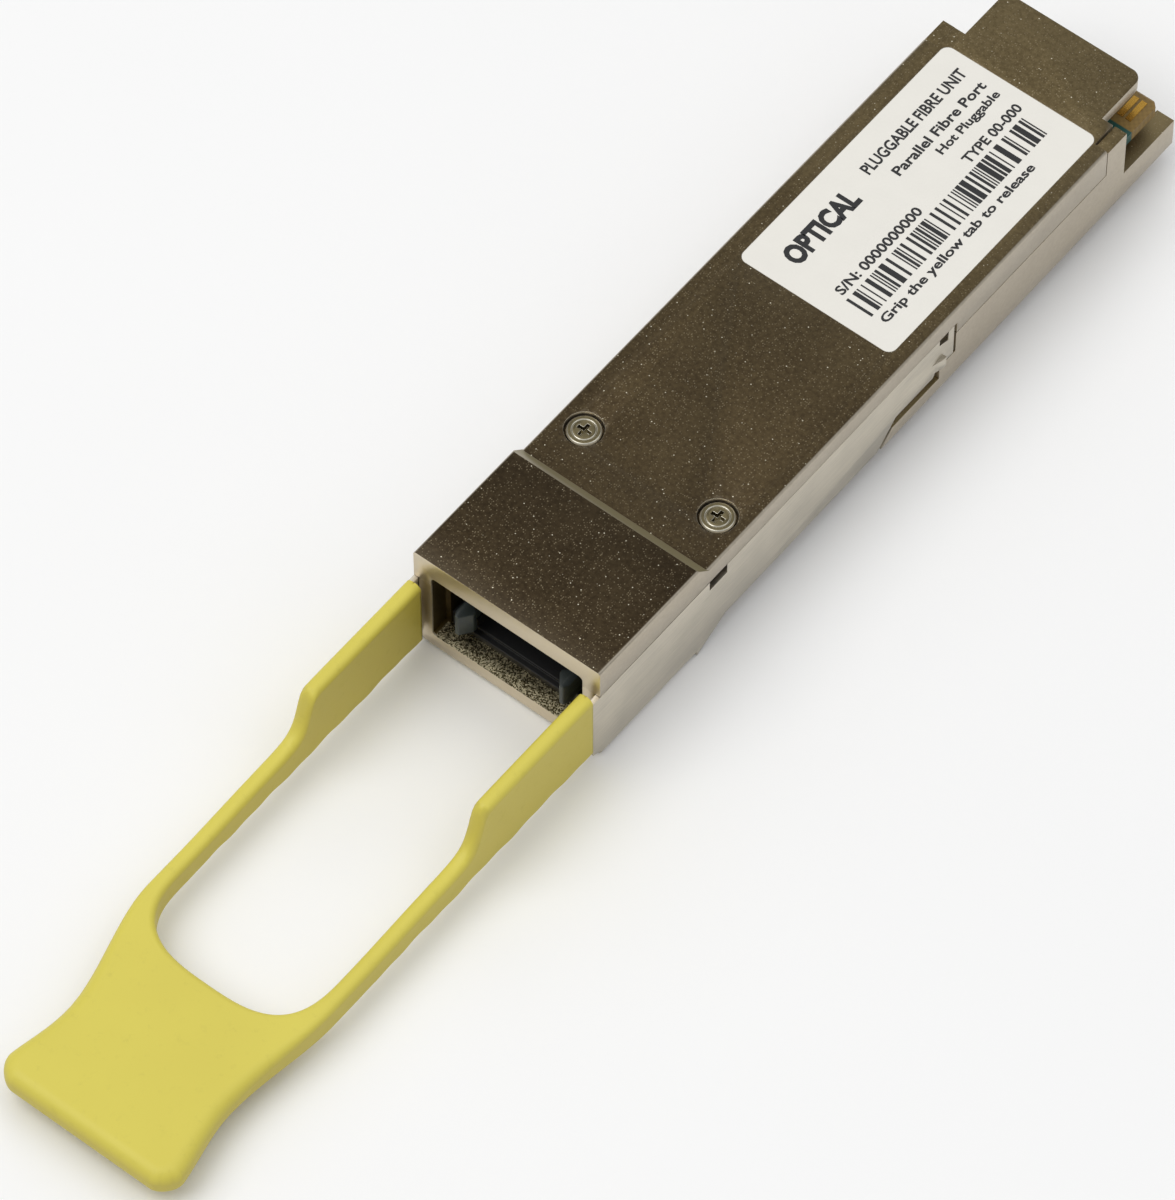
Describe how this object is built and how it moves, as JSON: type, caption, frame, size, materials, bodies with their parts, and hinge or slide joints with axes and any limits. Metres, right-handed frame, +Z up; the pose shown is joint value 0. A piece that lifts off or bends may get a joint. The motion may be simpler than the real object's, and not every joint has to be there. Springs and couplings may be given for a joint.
{
  "type": "optical transceiver module",
  "caption": "Pluggable optical transceiver with a two-part cast metal case, a parallel-fibre port, a gold edge connector and a sprung release slider with a soft yellow pull tab.",
  "frame": {"origin": "middle of the nose's front edge, on the plane of the flat underside that slides on the cage floor", "axes": "+X to the right seen from the front, +Y from the fibre port towards the edge connector (the direction of insertion), +Z up through the cover"},
  "size_m": [0.019, 0.1262, 0.0116],
  "materials": {
    "casting": "fine cast grain under a warm nickel plating",
    "sheet_steel": "plated sheet, smooth",
    "screw_steel": "plated, worn cross recess",
    "spring_steel": "bright wire",
    "pin_steel": "ground bright",
    "soft_yellow": "soft satin moulding",
    "label_film": "matt printed film",
    "port_plastic": "matt black moulding",
    "latch_plastic": "matt dark grey moulding",
    "ferrule_resin": "filled resin, fine ground face",
    "ribbon_plastic": "clear glossy ribbon",
    "board_laminate": "solder mask over glass laminate",
    "gold_plating": "thin gold over nickel",
    "groove_glass": "polished",
    "engine_metal": "plated lid",
    "chip_resin": "matt moulding compound",
    "coil_ferrite": "dark grey pressed body",
    "capacitor_ceramic": "tan ceramic with tinned ends",
    "heat_pad": "soft grey-blue pad",
    "gasket_rubber": "silver-filled elastomer"
  },
  "bodies": {
    "module": {"upper_shell": "casting", "lower_shell": "casting", "cover_screws": "screw_steel", "label": "label_film", "return_spring_left": "spring_steel", "return_spring_right": "spring_steel", "fibre_receptacle": "port_plastic", "ferrule": "ferrule_resin", "guide_pins": "pin_steel", "pin_clip": "pin_steel", "fibre_ribbon": "ribbon_plastic", "circuit_board": "board_laminate", "contacts_top": "gold_plating", "contacts_bottom": "gold_plating", "fibre_block": "groove_glass", "transmit_engine": "engine_metal", "receive_engine": "engine_metal", "laser_driver": "chip_resin", "receive_amplifier": "chip_resin", "retimer": "chip_resin", "controller": "chip_resin", "memory_chip": "chip_resin", "power_coils": "coil_ferrite", "top_capacitors": "capacitor_ceramic", "bottom_capacitors": "capacitor_ceramic", "heat_pad_engines": "heat_pad", "heat_pad_retimer": "heat_pad", "heat_pad_floor": "heat_pad", "shield_gasket": "gasket_rubber"},
    "release": {"release_slider": "sheet_steel", "pull_tab": "soft_yellow"},
    "latch_left": {"port_latch_left": "latch_plastic"},
    "latch_right": {"port_latch_right": "latch_plastic"}
  },
  "joints": [
    {"name": "pull_slide", "type": "slide", "parent": "module", "child": "release", "axis": [0, -1, 0], "range_m": [0, 0.0022], "stiffness_N_per_m": 2000, "springref_m": -0.0008, "deforming": ["return_spring_left", "return_spring_right"]},
    {"name": "latch_left_flex", "type": "hinge", "parent": "module", "child": "latch_left", "pos_m": [-0.00522, 0.0086, 0.0029], "axis": [0, 0, -1], "range_deg": [0, 5], "stiffness_Nm_per_rad": 0.24},
    {"name": "latch_right_flex", "type": "hinge", "parent": "module", "child": "latch_right", "pos_m": [0.00522, 0.0086, 0.0029], "axis": [0, 0, 1], "range_deg": [0, 5], "stiffness_Nm_per_rad": 0.24}
  ]
}
